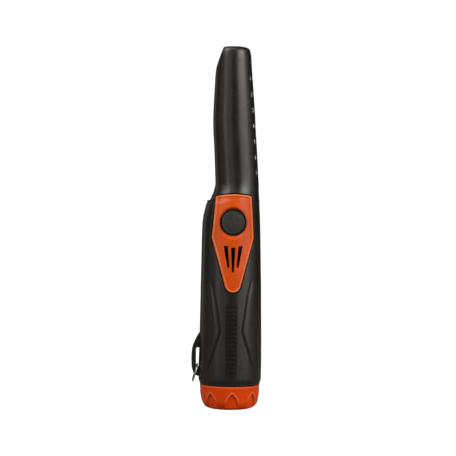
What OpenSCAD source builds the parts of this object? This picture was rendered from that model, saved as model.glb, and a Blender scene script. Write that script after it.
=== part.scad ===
// Pinpointer probe: a hand-held metal detector in a two-part casing, with a search coil in its
// nose, a push button and sounder behind a front panel, and a battery under a screw cap.
// Millimetres. +Z runs from the battery cap up to the tip, -Y is the front with the button,
// and the origin is where the axis of the cap meets its flat base.

/* [Casing] */
// Thickness of the casing wall
wall = 2.2; // [1.8:0.1:2.4]
// Depth of the pocket that the front panel sits in
panel_pocket = 1.3; // [1.0:0.1:1.4]
// How far the front panel stands proud of the casing
panel_proud = 0.4; // [0.2:0.1:0.6]
// Sides of each casing cross-section
casing_sides = 48; // [36:4:72]

/* [Button] */
// Diameter of the push button
button_d = 14.6; // [13:0.2:15.6]
// Travel of the push button
button_travel = 0.8; // [0.5:0.1:0.8]

/* [Battery cap] */
// Height of the battery cap
cap_h = 15; // [14.8:0.1:15.2]
// Number of arched finger recesses round the cap
flute_count = 8; // [6:1:10]
// Axial travel of the cap's thread in one turn
thread_lead = 9; // [8:0.5:10]
// Number of thread starts
thread_starts = 3; // [2:1:3]

/* [Lanyard] */
// Width of the lanyard loop across the casing
loop_w = 3.6; // [3.2:0.2:3.8]
// Outer diameter of the split ring
ring_d = 12; // [12:0.5:13]
// Angle that the split ring hangs out from the casing
ring_tilt = 15; // [10:1:20]

/* [Hidden] */
$fn = 48;
gap = 0.15;          // assembly clearance between separate pieces
far = 60;            // larger than any cross-section
tip_z = 228;
base_z = 17;         // lower end of the two casing shells

// Casing cross-sections: height, centre in X, half-width in X, half-depth in Y
stations = [
    [base_z, 0.0, 19.45, 19.2], [19.0, 0.0, 19.85, 19.6], [43.0, 0.2, 19.65, 19.2],
    [68.0, 0.2, 19.25, 18.7], [93.0, 0.1, 18.85, 18.2], [116.0, 0.0, 18.35, 17.7],
    [121.0, 0.2, 17.95, 17.5], [126.2, 0.6, 17.25, 17.1], [128.7, 0.9, 16.85, 16.8],
    [130.2, 1.3, 16.45, 16.5], [131.4, 2.0, 15.65, 16.2], [133.8, 2.4, 15.05, 15.55],
    [136.3, 2.9, 14.4, 14.8], [138.8, 3.2, 14.05, 14.1], [141.3, 3.4, 13.75, 13.6],
    [145.0, 3.25, 13.7, 13.25], [150.0, 3.0, 13.65, 13.05],
    [163.0, 2.3, 13.55, 12.9], [180.0, 1.3, 13.45, 12.6], [200.0, 0.9, 12.45, 11.9],
    [216.0, 0.6, 11.45, 11.0], [222.0, 0.6, 11.05, 10.6], [225.0, 0.6, 10.55, 10.2],
    [226.8, 0.6, 9.85, 9.5], [227.6, 0.6, 8.85, 8.5], [tip_z, 0.6, 7.45, 7.1]
];
bevel_low = [-10.6, 216];   // X and Z where the bevel on the tip's left side starts
bevel_angle = 20;           // its lean from the vertical

// Front panel and what is behind it
panel_x = 0.2;
button_z = 117;
button_hole_r = 8.2;
sounder_z = 95;
board_y = -5.6;             // front face of the circuit board
board_t = 1.6;
board_z = [62, 131];
board_w = 20.4;
board_holes = [[-7, 67], [7.4, 67], [-7, 128.2], [7.4, 128.2]];
stem_r = 3;
switch_h = 3.5;
plunger_h = 1.5;
seal_y = -11.4;
flange_y = seal_y - 1.4 - button_travel;   // front of the button's retaining flange
face_y = -16.2;             // rim of the button's face
// Front panel slots: centre X at the top, at the bottom, top Z, bottom Z, top width, bottom width
panel_slots = [[-4.6, -2.9, 102.4, 89.0, 2.5, 1.3], [0, 0, 101.3, 86.0, 2.6, 1.3],
               [4.6, 2.9, 102.4, 89.0, 2.5, 1.3]];

// Casing screws: X, Z and how far the head's seat lies behind the parting plane
casing_screws = [[-13.6, 66, 7], [14.0, 66, 7], [-13.1, 104, 7], [13.4, 104, 7],
                 [-5.4, 150, 6], [11.4, 150, 6]];
screw_r = 1.25;
screw_depth = 8;            // thread length in front of the parting plane
boss_r = 2.5;

// Search coil, on an axis that keeps to the middle of the nose
coil_x = 0.9;
core_r = 4.5;
core_z = [160, 218];
former_z = [164, 214];
former_t = 1;

// Lamp on the shoulder, which lights the tip: middle of its bezel's face, and its lean
lamp_at = [-13.5, 0, 131.3];
lamp_lean = 8;
bezel_r = 2.0;
lens_r = 1.5;

// Printed length scale
scale_marks = 8;
scale_top = 217.7;

// Battery, its tube and its cap
battery = [26.2, 17.2, 46];
battery_z = 6.3;
stud_x = 6.35;
bay = [27, 18];
tube_w = [29.4, 20.4];
tube_top = 59;
collar_z = 15.4;
spigot_z = 9.4;
spigot_r = 16.3;
thread_r = 17.0;
cap_bore_r = 17.2;
cap_floor = 2.8;
cap_well_r = 15.3;
lug_z = 12.7;
ridge_z = 11.5;             // middle of each thread ridge under its lug
plate_z = 3.0;
pivot_r = 1.45;
oring_z = 14.4;

// Lanyard loop on the left side, as X and Z
loop_out = -24.4;
loop_slot = [-21.5, -19.3];
ring_x = -20.98;            // where the ring hangs in the slot
loop_slot_z = [26.2, 38.0];
slot_r = 0.9;
foot_z = [22.6, 43.4];
ring_w = 1.0;
ring_radial = 1.2;
ring_drop = 4.0;            // from the slot's lower end to the ring's centre

// Vibration motor
motor_at = [0, 8, 74];
motor_r = 3;
motor_h = 12;

// ---------- shared shapes ----------

// The casing's outer form, shrunk by inset on every side
module casing_form(inset = 0) {
    skin = 0.02;
    difference() {
        for (i = [0 : len(stations) - 2])
            hull()
                for (s = [stations[i], stations[i + 1]])
                    translate([s[1], 0, s[0]])
                        linear_extrude(skin)
                            scale([s[2] - inset, s[3] - inset])
                                circle(r = 1, $fn = casing_sides);
        translate([-far / 2, -far / 2, tip_z - inset])
            cube([far, far, 10]);
        translate([bevel_low[0], 0, bevel_low[1]])
            rotate([0, bevel_angle, 0])
                translate([inset - far, -far / 2, -far / 2])
                    cube([far, far, far]);
    }
}

// Everything in front of, or behind, the parting plane
module half_space(front) {
    translate([-far / 2, front ? -far : 0, 0])
        cube([far, far, tip_z + 10]);
}

// A round bar along Y, from y0 to y1
module y_bar(x, z, r, y0, y1) {
    translate([x, y0, z])
        rotate([-90, 0, 0])
            cylinder(r = r, h = y1 - y0);
}

// A flat outline in X and Z, thick from y0 to y1
module xz_plate(y0, y1) {
    translate([0, y1, 0])
        rotate([90, 0, 0])
            linear_extrude(y1 - y0)
                children();
}

// A rectangle with round corners, centred
module round_rect(w, h, r) {
    square([w - 2 * r, h], center = true);
    square([w, h - 2 * r], center = true);
    for (x = [-1, 1], y = [-1, 1])
        translate([x * (w / 2 - r), y * (h / 2 - r)])
            circle(r = r);
}

// Smooth point on a route, by a Catmull-Rom curve through four of its points
function blend(a, b, c, d, t) =
    0.5 * (2 * b + (c - a) * t + (2 * a - 5 * b + 4 * c - d) * t * t
           + (3 * b - a - 3 * c + d) * t * t * t);
function route(p, steps) =
    let (n = len(p) - 1)
    [for (i = [0 : n - 1], k = [0 : steps - 1])
        blend(p[max(i - 1, 0)], p[i], p[i + 1], p[min(i + 2, n)], k / steps), p[n]];
function unit(v) = v / norm(v);

// A round wire swept along points, closed at both ends
module wire(points, r, sides = 8) {
    p = route(points, 4);
    n = len(p);
    rings = [for (i = [0 : n - 1])
        let (t = unit(p[min(i + 1, n - 1)] - p[max(i - 1, 0)]),
             u = unit(cross(t, [0.3, 1, 0.1])), v = cross(t, u))
        for (k = [0 : sides - 1])
            p[i] + r * (cos(360 * k / sides) * u + sin(360 * k / sides) * v)];
    sides_of = [for (i = [0 : n - 2], k = [0 : sides - 1])
        let (a = i * sides + k, b = i * sides + (k + 1) % sides)
        each [[a, a + sides, b], [b, a + sides, b + sides]]];
    ends = [[for (k = [0 : sides - 1]) k],
            [for (k = [sides - 1 : -1 : 0]) (n - 1) * sides + k]];
    polyhedron(points = rings, faces = concat(sides_of, ends), convexity = 6);
}

// ---------- casing ----------

// The hollow casing with its lower tongue, before it is parted and cut
module casing_wall() {
    difference() {
        casing_form();
        casing_form(wall);
        translate([0, 0, base_z - 1])
            cylinder(r = stations[0][3] - wall, h = 1.2);
    }
    difference() {
        translate([0, 0, base_z - 0.9])
            cylinder(r = 18.2, h = 1.2);
        translate([0, 0, base_z - 1])
            cylinder(r = 17.4, h = 2);
    }
}

// The parting plane's outline, shrunk by inset
module parting_outline(inset) {
    offset(delta = -inset)
        difference() {
            polygon(concat([for (s = stations) [s[1] + s[2], s[0]]],
                           [for (i = [len(stations) - 1 : -1 : 0])
                               [stations[i][1] - stations[i][2], stations[i][0]]]));
            translate(bevel_low)
                rotate(-bevel_angle)
                    translate([-far, -far / 2])
                        square([far, far]);
        }
}

// The seal's strip in the middle of the casing wall
module seal_strip(spare = 0) {
    difference() {
        xz_plate(-0.4 - spare, 0.4 + spare)
            intersection() {
                difference() {
                    parting_outline(0.8 - spare);
                    parting_outline(1.4 + spare);
                }
                translate([-far / 2, base_z + 1.8])
                    square([far, tip_z]);
            }
        lamp_bore(bezel_r + 0.6);
        for (z = foot_z)
            translate([-far / 2, -loop_w / 2, z - 2.4])
                cube([far / 2, loop_w, 4.8]);
    }
}

// A bore along the lamp's axis
module lamp_bore(r) {
    translate(lamp_at)
        rotate([0, -lamp_lean, 0])
            translate([0, 0, -5.4])
                cylinder(r = r, h = 7.6);
}

// What the lanyard loop's two feet need in the casing
module loop_foot_slots() {
    for (z = foot_z)
        translate([-far / 2, -loop_w / 2 - gap, z - 1.6 - gap])
            cube([far / 2 - 16, loop_w + 2 * gap, 3.2 + 2 * gap]);
}

module front_shell() color([0.05, 0.047, 0.045]) {
    difference() {
        union() {
            intersection() {
                union() {
                    casing_wall();
                    intersection() {
                        casing_form(0.6);
                        front_bosses();
                    }
                }
                half_space(true);
            }
        }
        difference() {
            xz_plate(-far / 2, 0)
                panel_outline(-gap);
            casing_form(panel_pocket);
        }
        y_bar(panel_x, button_z, 9.1, -far / 2, seal_y - 0.1);
        y_bar(panel_x, button_z, 10.4, seal_y - 0.12, -5);
        y_bar(panel_x, sounder_z, 6.6, -far / 2, -5);
        y_bar(panel_x, sounder_z, 7.7, -13.2, -5);
        for (s = casing_screws)
            y_bar(s[0], s[1], screw_r + 0.05, -screw_depth - 0.5, 1);
        for (h = board_holes)
            y_bar(h[0], h[1], 0.95, board_y - 6, board_y);
        lamp_bore(bezel_r + gap);
        loop_foot_slots();
        seal_strip(0.02);
    }
}

// Bosses inside the front shell, which reach into its wall
module front_bosses() {
    for (s = casing_screws)
        y_bar(s[0], s[1], boss_r, -far / 2, 0);
    for (h = board_holes)
        y_bar(h[0], h[1], 2.1, -far / 2, board_y - gap);
    y_bar(panel_x, button_z, 11.6, -far / 2, seal_y + 1.7);
    y_bar(panel_x, sounder_z, 9.2, -far / 2, -10.4);
}

module rear_shell() color([0.05, 0.047, 0.045]) {
    difference() {
        intersection() {
            union() {
                casing_wall();
                intersection() {
                    casing_form(0.6);
                    rear_bosses();
                }
            }
            half_space(false);
        }
        for (s = casing_screws) {
            y_bar(s[0], s[1], screw_r + 0.15, -1, far / 2);
            y_bar(s[0], s[1], 2.5, s[2], far / 2);
        }
        translate([motor_at[0], motor_at[1], motor_at[2] - 2])
            cylinder(r = motor_r + 1.35, h = 20);
        lamp_bore(bezel_r + gap);
        loop_foot_slots();
        seal_strip(0.02);
    }
}

// Screw pillars and the vibration motor's two cradle ribs
module rear_bosses() {
    for (s = casing_screws)
        y_bar(s[0], s[1], boss_r + 0.9, 0, far / 2);
    for (z = [76, 82])
        translate([-6, motor_at[1], z])
            cube([12, 12, 2]);
}

module shell_seal() color([0.12, 0.12, 0.13]) seal_strip();

// Six self-tapping screws with pan heads and cross recesses
module casing_screws() color([0.55, 0.56, 0.58])
    for (s = casing_screws)
        difference() {
            union() {
                y_bar(s[0], s[1], screw_r, -screw_depth, s[2] + 0.5);
                y_bar(s[0], s[1], 2.25, s[2] + 0.03, s[2] + 1.6);
            }
            for (a = [0, 90])
                translate([s[0], s[2] + 1.2, s[1]])
                    rotate([0, a, 0])
                        cube([2.6, 1.6, 0.6], center = true);
        }

// ---------- front panel and button ----------

// The panel's outline in X and Z: arched top, straight flanks, round lower end
module panel_outline(inset = 0) {
    offset(delta = -inset)
        translate([panel_x, 0])
            intersection() {
                hull() {
                    for (x = [-1, 1]) {
                        translate([x * 10.0 + 0.5, 132.8])
                            circle(r = 1.2, $fn = 24);
                        translate([x * 10.1, 107.8])
                            circle(r = 3, $fn = 24);
                    }
                    translate([0, 78.4])
                        circle(r = 4.9, $fn = 32);
                    translate([0.5, 134.5])
                        circle(r = 0.2, $fn = 16);
                }
                // The top edge is a shallow arc
                translate([0.5, 84.7])
                    circle(r = 50, $fn = 240);
            }
}

module control_panel() color([0.82, 0.22, 0.02])
    difference() {
        intersection() {
            difference() {
                casing_form(-panel_proud);
                casing_form(panel_pocket - 0.02);
            }
            xz_plate(-far / 2, -5)
                panel_outline();
        }
        y_bar(panel_x, button_z, button_hole_r, -far / 2, 0);
        translate([panel_x, -19.2, button_z])
            rotate([-90, 0, 0])
                cylinder(r1 = 11, r2 = button_hole_r - 0.4, h = 3.4);
        for (s = panel_slots)
            xz_plate(-far / 2, 0)
                translate([panel_x, 0])
                    polygon([[s[0] - s[4] / 2, s[2]], [s[0] + s[4] / 2, s[2]],
                             [s[1] + s[5] / 2, s[3]], [s[1] - s[5] / 2, s[3]]]);
    }

// Button with a low crown, a retaining flange and a stem that reaches the switch
module power_button() color([0.13, 0.13, 0.12]) {
    crown = 0.5;
    crown_r = (pow(button_d / 2, 2) + crown * crown) / (2 * crown);
    translate([panel_x, 0, button_z])
        rotate([90, 0, 0]) {
            translate([0, 0, -flange_y - 1.2])
                cylinder(d = button_d, h = flange_y + 1.2 - face_y);
            translate([0, 0, -flange_y - 1.2])
                cylinder(r = 8.8, h = 1.2);
            translate([0, 0, switch_h + plunger_h - board_y + 0.05])
                cylinder(r = stem_r, h = 1.8);
            intersection() {
                translate([0, 0, -face_y - crown_r + crown])
                    sphere(r = crown_r, $fn = 96);
                translate([0, 0, -face_y - 0.01])
                    cylinder(d = button_d, h = 2);
            }
        }
}

// Wiper seal round the button's stem
module button_seal() color([0.2, 0.2, 0.2])
    difference() {
        y_bar(panel_x, button_z, 10.3, seal_y, seal_y + 0.6);
        y_bar(panel_x, button_z, stem_r + 0.05, seal_y - 1, seal_y + 1);
    }

module seal_retainer() color([0.75, 0.75, 0.72])
    difference() {
        y_bar(panel_x, button_z, 10.3, seal_y + 0.65, seal_y + 1.65);
        y_bar(panel_x, button_z, 8.6, seal_y, seal_y + 2);
    }

// Tactile switch body, with the plunger's bore
module switch_body() color([0.1, 0.1, 0.1])
    difference() {
        translate([panel_x - 3, board_y - switch_h, button_z - 3])
            cube([6, switch_h - 0.02, 6]);
        y_bar(panel_x, button_z, 1.75, board_y - switch_h - 1, board_y - 0.6);
    }

module switch_plunger() color([0.9, 0.88, 0.8])
    y_bar(panel_x, button_z, 1.65, board_y - switch_h - plunger_h, board_y - 2.2);

// ---------- circuit board ----------

module circuit_board() color([0.05, 0.3, 0.12])
    difference() {
        translate([panel_x - board_w / 2, board_y, board_z[0]])
            cube([board_w, board_t, board_z[1] - board_z[0]]);
        for (h = board_holes)
            y_bar(h[0], h[1], 1.15, board_y - 1, 0);
    }

module controller_chip() color([0.06, 0.06, 0.07]) {
    translate([-3.3, board_y + board_t + 0.3, 96])
        cube([7, 1.4, 7]);
    for (i = [0 : 7], side = [-1, 1])
        translate([panel_x - 0.2 + side * 3.9, board_y + board_t + 0.4, 96.6 + i * 0.8])
            cube([1, 0.7, 0.4], center = true);
}

// Capacitors, coil driver, voltage regulator and connectors on the rear face
module board_parts() color([0.3, 0.28, 0.2]) {
    rear = board_y + board_t + 0.02;
    for (p = [[-6, 112, 2.5, 5], [6.4, 112, 2.5, 5], [6.2, 76, 3.1, 5.5]])
        y_bar(p[0], p[1], p[2], rear, rear + p[3]);
    for (x = [-6.6, -3.4, 3.6, 6.8], z = [88, 91.5])
        translate([x, rear, z])
            cube([2, 0.9, 1.2]);
    translate([-8.6, rear, 74])
        cube([6.4, 2.2, 4]);
    translate([-2.8, rear, 120])
        cube([6, 4, 4.7]);
    translate([-3.4, rear, 64.6])
        cube([7, 4, 4.2]);
}

module board_screws() color([0.6, 0.6, 0.62])
    for (h = board_holes) {
        y_bar(h[0], h[1], 0.9, board_y - 4.5, board_y + board_t + gap);
        y_bar(h[0], h[1], 1.8, board_y + board_t + 0.05, board_y + board_t + 1.2);
    }

module sounder() color([0.08, 0.08, 0.08])
    difference() {
        y_bar(panel_x, sounder_z, 7.4, -12.6, board_y - 0.1);
        y_bar(panel_x, sounder_z, 1.4, -13, -11);
    }

module sounder_mesh() color([0.35, 0.35, 0.36])
    y_bar(panel_x, sounder_z, 7.5, -13.1, -12.8);

// ---------- length scale ----------

// Centimetre marks down the right side of the nose
module length_scale() color([0.85, 0.85, 0.83])
    intersection() {
        difference() {
            casing_form(-0.06);
            casing_form(-0.01);
        }
        for (i = [0 : scale_marks - 1])
            translate([0, -4.6, scale_top - 10 * i - 0.2])
                cube([far, 4.4, 0.4]);
    }

// ---------- lamp ----------

// Collar that holds the lens in the casing
module lamp_bezel() color([0.05, 0.05, 0.05])
    translate(lamp_at)
        rotate([0, -lamp_lean, 0])
            difference() {
                translate([0, 0, -5])
                    cylinder(r = bezel_r, h = 5);
                translate([0, 0, -6])
                    cylinder(r = lens_r + 0.05, h = 7);
            }

module lamp_lens() color([0.8, 0.9, 1.0, 0.5])
    translate(lamp_at)
        rotate([0, -lamp_lean, 0])
            difference() {
                union() {
                    translate([0, 0, -3])
                        cylinder(r = lens_r, h = 2.8);
                    translate([0, 0, -0.2])
                        intersection() {
                            translate([0, 0, -2.2])
                                sphere(r = sqrt(2.2 * 2.2 + lens_r * lens_r), $fn = 64);
                            translate([0, 0, -0.01])
                                cylinder(r = lens_r, h = 3);
                        }
                }
                translate([0, 0, -4])
                    cylinder(r = 1.15, h = 3);
            }

module lamp_led() color([0.95, 0.95, 0.85])
    translate(lamp_at)
        rotate([0, -lamp_lean, 0]) {
            translate([0, 0, -4.4])
                cylinder(r = 1.05, h = 3.2);
            translate([0, 0, -4.4])
                cylinder(r = 1.4, h = 1);
        }

module lamp_leads() color([0.7, 0.7, 0.7])
    for (side = [-1, 1])
        wire([[-12.8, side * 0.6, 126.85], [-12.6, side * 0.6, 125.6], [-10.8, side * 0.6 - 2, 123.2],
              [-8.8 + side * 0.6, -3.9, 122]], 0.22, 6);

// ---------- vibration motor ----------

module motor_can() color([0.75, 0.76, 0.78])
    translate(motor_at)
        difference() {
            cylinder(r = motor_r, h = motor_h);
            translate([0, 0, motor_h - 3])
                cylinder(r = 0.56, h = 4);
        }

module motor_boot() color([0.1, 0.1, 0.1])
    translate(motor_at + [0, 0, 1])
        difference() {
            cylinder(r = motor_r + 1.2, h = 10);
            translate([0, 0, -1])
                cylinder(r = motor_r + 0.05, h = 12);
        }

module motor_shaft() color([0.8, 0.8, 0.8])
    translate(motor_at + [0, 0, motor_h - 2.8])
        cylinder(r = 0.5, h = 7);

// Half-round weight that shakes the handle as it spins
module eccentric_weight() color([0.6, 0.55, 0.35])
    translate(motor_at + [0, 0, motor_h + 0.6])
        difference() {
            cylinder(r = 2.8, h = 3.4);
            translate([-4, 0.9, -1])
                cube([8, 4, 6]);
            translate([0, 0, -1])
                cylinder(r = 0.52, h = 6);
        }

// ---------- search coil ----------

module ferrite_core() color([0.18, 0.18, 0.19])
    translate([coil_x, 0, core_z[0]])
        cylinder(r = core_r, h = core_z[1] - core_z[0]);

module coil_former() color([0.85, 0.83, 0.75])
    translate([coil_x, 0, former_z[0]])
        difference() {
            h = former_z[1] - former_z[0];
            union() {
                cylinder(r = 5.2, h = h);
                for (z = [0, h - former_t])
                    translate([0, 0, z])
                        cylinder(r = 7.5, h = former_t);
            }
            translate([0, 0, -1])
                cylinder(r = core_r + 0.05, h = h + 2);
        }

module search_coil() color([0.72, 0.36, 0.14])
    translate([coil_x, 0, former_z[0] + former_t + 0.05])
        difference() {
            cylinder(r = 7.1, h = former_z[1] - former_z[0] - 2 * former_t - 0.1);
            translate([0, 0, -1])
                cylinder(r = 5.25, h = far);
        }

module coil_shield() color([0.25, 0.25, 0.26])
    translate([coil_x, 0, former_z[0] - 1])
        difference() {
            cylinder(r = 8.1, h = 51);
            translate([0, 0, -1])
                cylinder(r = 7.8, h = 53);
        }

module core_mount_tip() color([0.3, 0.3, 0.3])
    translate([coil_x, 0, core_z[1] - 2])
        difference() {
            cylinder(r = 6, h = 5.5);
            translate([0, 0, -1])
                cylinder(r = core_r + 0.05, h = 3.05);
        }

module core_mount_rear() color([0.3, 0.3, 0.3])
    translate([coil_x, 0, core_z[0] - 4])
        difference() {
            cylinder(r = 8.8, h = 5.5);
            translate([0, 0, 3.95])
                cylinder(r = core_r + 0.05, h = 3);
            translate([4.6, -2, -1])
                cube([4.8, 4, 8]);
        }

module coil_lead() color([0.1, 0.1, 0.1])
    wire([[coil_x + 6.3, 0, 162.6], [coil_x + 6.3, 0, 158], [coil_x + 5.4, 0.2, 152],
          [coil_x + 3, 0.6, 143], [1.4, 0.8, 134], [0.4, -1, 127.5], [0.2, -1.6, 125.1]], 0.9, 8);

// ---------- battery bay ----------

// A thread ridge: a helical bar round the spigot, from angle a0 to a1
module thread_ridge(a0, a1) {
    step = 5;
    n = ceil((a1 - a0) / step);
    section = [[15.8, -0.5], [thread_r, -0.28], [thread_r, 0.28], [15.8, 0.5]];
    points = [for (i = [0 : n], s = section)
        let (a = a0 + (a1 - a0) * i / n)
        [s[0] * cos(a), s[0] * sin(a), ridge_z + thread_lead * a / 360 + s[1]]];
    skins = [for (i = [0 : n - 1], k = [0 : 3])
        let (p = 4 * i + k, q = 4 * i + (k + 1) % 4)
        each [[p, p + 4, q], [q, p + 4, q + 4]]];
    ends = [[0, 1, 2, 3], [4 * n + 3, 4 * n + 2, 4 * n + 1, 4 * n]];
    polyhedron(points = points, faces = concat(skins, ends), convexity = 4);
}

// Tube that holds the battery, with the threaded spigot and the collar that keeps the shells
module battery_tube() color([0.08, 0.08, 0.08])
    difference() {
        union() {
            translate([0, 0, spigot_z])
                cylinder(r = spigot_r, h = collar_z + 2 - spigot_z);
            translate([0, 0, collar_z])
                cylinder(r1 = 19.0, r2 = stations[0][3], h = base_z - gap - collar_z);
            translate([0, 0, base_z - 1])
                linear_extrude(tube_top - base_z + 1)
                    round_rect(tube_w[0], tube_w[1], 3.5);
            for (i = [0 : thread_starts - 1])
                rotate(i * 360 / thread_starts)
                    thread_ridge(-62, 8);
        }
        translate([0, 0, base_z - 1])
            difference() {
                cylinder(r = 18.35, h = 3);
                translate([0, 0, -1])
                    cylinder(r = 17.25, h = 5);
            }
        translate([0, 0, spigot_z - 1])
            linear_extrude(far)
                round_rect(bay[0], bay[1], 3);
        translate([0, 0, oring_z])
            rotate_extrude()
                translate([spigot_r, 0])
                    square([0.9, 1.1], center = true);
    }

module contact_plate() color([0.08, 0.35, 0.15])
    translate([0, 0, 56])
        linear_extrude(1.6)
            round_rect(bay[0] - 0.4, bay[1] - 0.4, 2.8);

// Snap contacts for the battery's two studs
module contact_snaps() color([0.8, 0.78, 0.7]) {
    translate([-stud_x, 0, 54.7])
        cylinder(r = 3.9, h = 1.28);
    translate([stud_x, 0, 54.7])
        cylinder(r = 2.9, h = 1.28);
}

module battery_lead_red() color([0.7, 0.05, 0.04])
    wire([[-4, 0, 57.65], [-4, 0, 59.5], [-3.2, -0.6, 61.5], [-1.8, -1.6, 63.2],
          [-1.6, -1.8, 64.5]], 0.6, 8);

module battery_lead_black() color([0.03, 0.03, 0.03])
    wire([[4, 0, 57.65], [4, 0, 59.5], [3.2, -0.6, 61.5], [2.0, -1.6, 63.2],
          [1.8, -1.8, 64.5]], 0.6, 8);

module cap_oring() color([0.04, 0.04, 0.04])
    translate([0, 0, oring_z])
        rotate_extrude($fn = 96)
            translate([16.6, 0])
                circle(r = 0.5, $fn = 24);

// ---------- battery cap ----------

// One pointed-arch finger recess, leaning in towards the base
module flute() {
    half_w = 3.9;
    apex_z = 10.6;
    spring_z = 3.4;      // where the arch's straight sides end
    translate([17.85, 0, apex_z])
        rotate([0, 12, 0])
            rotate([90, 0, 90])
                linear_extrude(6)
                    polygon([[-half_w, -20], [half_w, -20], [half_w, spring_z - apex_z],
                             [3.2, -4.0], [1.9, -1.8], [0, 0], [-1.9, -1.8], [-3.2, -4.0],
                             [-half_w, spring_z - apex_z]]);
}

module battery_cap() color([0.82, 0.22, 0.02]) {
    edge_r = 6.3;
    side_r = 18.1;       // at the top of the round lower edge
    rim_r = 18.9;
    difference() {
        rotate_extrude($fn = 96)
            polygon(concat(
                [[0, 0], [side_r - edge_r, 0]],
                [for (a = [-80 : 10 : 0])
                    [side_r - edge_r + edge_r * cos(a), edge_r + edge_r * sin(a)]],
                [[rim_r, cap_h - 0.5], [rim_r - 0.4, cap_h], [cap_bore_r, cap_h], [cap_bore_r, 9],
                 [cap_well_r, 9], [cap_well_r, cap_floor + 1.4], [cap_well_r - 1.4, cap_floor],
                 [0, cap_floor]]));
        for (i = [0 : flute_count - 1])
            rotate(-88.5 + i * 360 / flute_count)
                flute();
        translate([0, 0, 0.9])
            cylinder(r = pivot_r + 0.05, h = cap_floor);
    }
    // Lugs that run on the thread ridges
    for (i = [0 : thread_starts - 1])
        rotate(i * 360 / thread_starts - 5)
            translate([0, 0, lug_z - 0.5])
                rotate_extrude(angle = 10, $fn = 96)
                    translate([16.5, 0])
                        square([0.9, 1]);
}

// Plate that stays still against the battery while the cap turns
module pressure_plate() color([0.85, 0.85, 0.82])
    translate([0, 0, plate_z])
        difference() {
            cylinder(r = 13.6, h = 1.2);
            translate([0, 0, -1])
                cylinder(r = pivot_r + 0.05, h = 4);
        }

module pressure_pad() color([0.15, 0.15, 0.16])
    translate([0, 0, plate_z + 1.25])
        difference() {
            cylinder(r = 12.4, h = 2);
            translate([0, 0, -1])
                cylinder(r = 3.1, h = 4);
        }

module pivot_screw() color([0.6, 0.6, 0.62])
    difference() {
        union() {
            translate([0, 0, 1])
                cylinder(r = pivot_r, h = 3.4);
            translate([0, 0, plate_z + 1.25])
                cylinder(r = 2.7, h = 1.2);
        }
        for (a = [0, 90])
            rotate(a)
                translate([0, 0, plate_z + 2.3])
                    cube([3.2, 0.7, 1.2], center = true);
    }

// Steel jacket of the battery, open at the top for its lid
module battery_case() color([0.2, 0.22, 0.26])
    translate([0, 0, battery_z])
        difference() {
            linear_extrude(battery[2])
                round_rect(battery[0], battery[1], 2.5);
            translate([0, 0, 0.6])
                linear_extrude(battery[2])
                    round_rect(battery[0] - 0.6, battery[1] - 0.6, 2.2);
        }

module battery_lid() color([0.3, 0.2, 0.12])
    translate([0, 0, battery_z + battery[2] - 0.85])
        linear_extrude(0.8)
            round_rect(battery[0] - 0.7, battery[1] - 0.7, 2.1);

// Six cells in two rows
module battery_cells() color([0.6, 0.6, 0.6])
    for (x = [-8.4, 0, 8.4], y = [-4.2, 4.2])
        translate([x, y, battery_z + 0.7])
            cylinder(r = 4.05, h = battery[2] - 1.7);

module battery_studs() color([0.8, 0.8, 0.82]) {
    translate([stud_x, 0, battery_z + battery[2] + 0.02])
        cylinder(r = 2.85, h = 2.2);
    translate([-stud_x, 0, battery_z + battery[2] + 0.02])
        difference() {
            cylinder(r = 3.9, h = 2.2, $fn = 6);
            translate([0, 0, 0.6])
                cylinder(r = 2.95, h = 3);
        }
}

// ---------- lanyard ----------

// Outer side of the loop: a lens-like arch that leaves and rejoins the casing
module loop_profile() {
    difference() {
        polygon([[-18.9, 48.6], [-20.9, 45.6], [-22.2, 43.2], [-23.4, 40.4], [-24.1, 37.6],
                 [loop_out, 34], [loop_out, 27.5], [-24.1, 24.6], [-23.2, 22.4], [-22.0, 20.9],
                 [-20.8, 20.1], [-18.9, 19.6]]);
        translate([0, loop_slot_z[0] + slot_r])
            square_slot();
    }
}

// The slot beside the casing, with round ends on its outer side
module square_slot() {
    w = loop_slot[1] - loop_slot[0];
    h = loop_slot_z[1] - loop_slot_z[0] - 2 * slot_r;
    translate([loop_slot[0], 0])
        square([w + 1, h]);
    for (z = [0, h])
        translate([loop_slot[0] + slot_r, z])
            circle(r = slot_r);
    translate([loop_slot[0] + slot_r, -slot_r])
        square([w, h + 2 * slot_r]);
}

module lanyard_loop() color([0.02, 0.02, 0.02]) {
    intersection() {
        difference() {
            xz_plate(-loop_w / 2, loop_w / 2)
                loop_profile();
            translate([0, 0, 19])
                cylinder(r1 = 19.97, r2 = 19.55, h = 31);
        }
        translate([-far, -far / 2, 0])
            cube([far, far, 60]);
    }
    // Feet through the casing wall, and their heads inside it
    for (z = foot_z) {
        translate([-20.2, -loop_w / 2, z - 1.6])
            cube([4.2, loop_w, 3.2]);
        translate([-16.5, -loop_w / 2 - 1.2, z - 1.6])
            cube([1.4, loop_w + 2.4, 3.2]);
    }
}

// Flat double-turn ring, hung through the lower end of the loop's slot
module split_ring() color([0.8, 0.8, 0.8]) {
    inner = ring_d / 2 - ring_radial;
    translate([ring_x, 0, loop_slot_z[0]])
        rotate([0, ring_tilt, 0])
            translate([0, 0, -ring_drop])
                rotate([0, 90, 0])
                    rotate_extrude($fn = 64)
                        translate([inner, -ring_w / 2])
                            polygon([[0, 0.2], [0.2, 0], [ring_radial - 0.2, 0], [ring_radial, 0.2],
                                     [ring_radial, ring_w / 2 - 0.1], [ring_radial - 0.12, ring_w / 2],
                                     [ring_radial, ring_w / 2 + 0.1], [ring_radial, ring_w - 0.2],
                                     [ring_radial - 0.2, ring_w], [0.2, ring_w], [0, ring_w - 0.2]]);
}

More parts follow.
